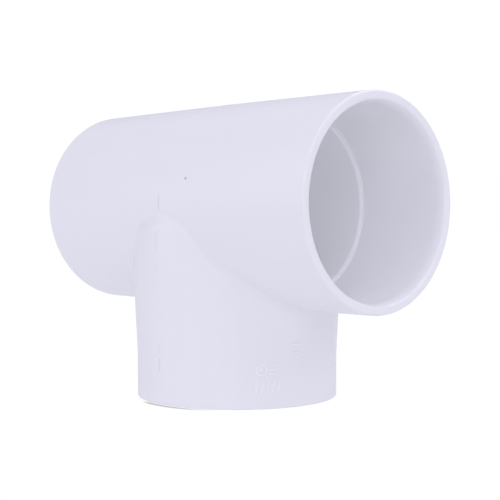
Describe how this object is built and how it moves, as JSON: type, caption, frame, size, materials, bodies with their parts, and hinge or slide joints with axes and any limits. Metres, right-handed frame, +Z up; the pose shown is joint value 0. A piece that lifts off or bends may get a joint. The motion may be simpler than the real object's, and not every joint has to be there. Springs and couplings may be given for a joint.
{
  "type": "tee fitting",
  "caption": "White moulded plastic equal tee for solvent-welded pipe, with a socket at each end of the run and on the branch.",
  "frame": {"origin": "centre of the branch's mouth, on the surface that the fitting stands on", "axes": "+X along the run, towards its right-hand socket; +Y square to the run and the branch; +Z up, from the branch's mouth to the run"},
  "size_m": [0.1908, 0.104, 0.1458],
  "materials": {
    "tee_body": "satin white rigid plastic with a faint cool tint, as moulded"
  },
  "bodies": {
    "root": {"tee_body": "tee_body"}
  },
  "joints": []
}
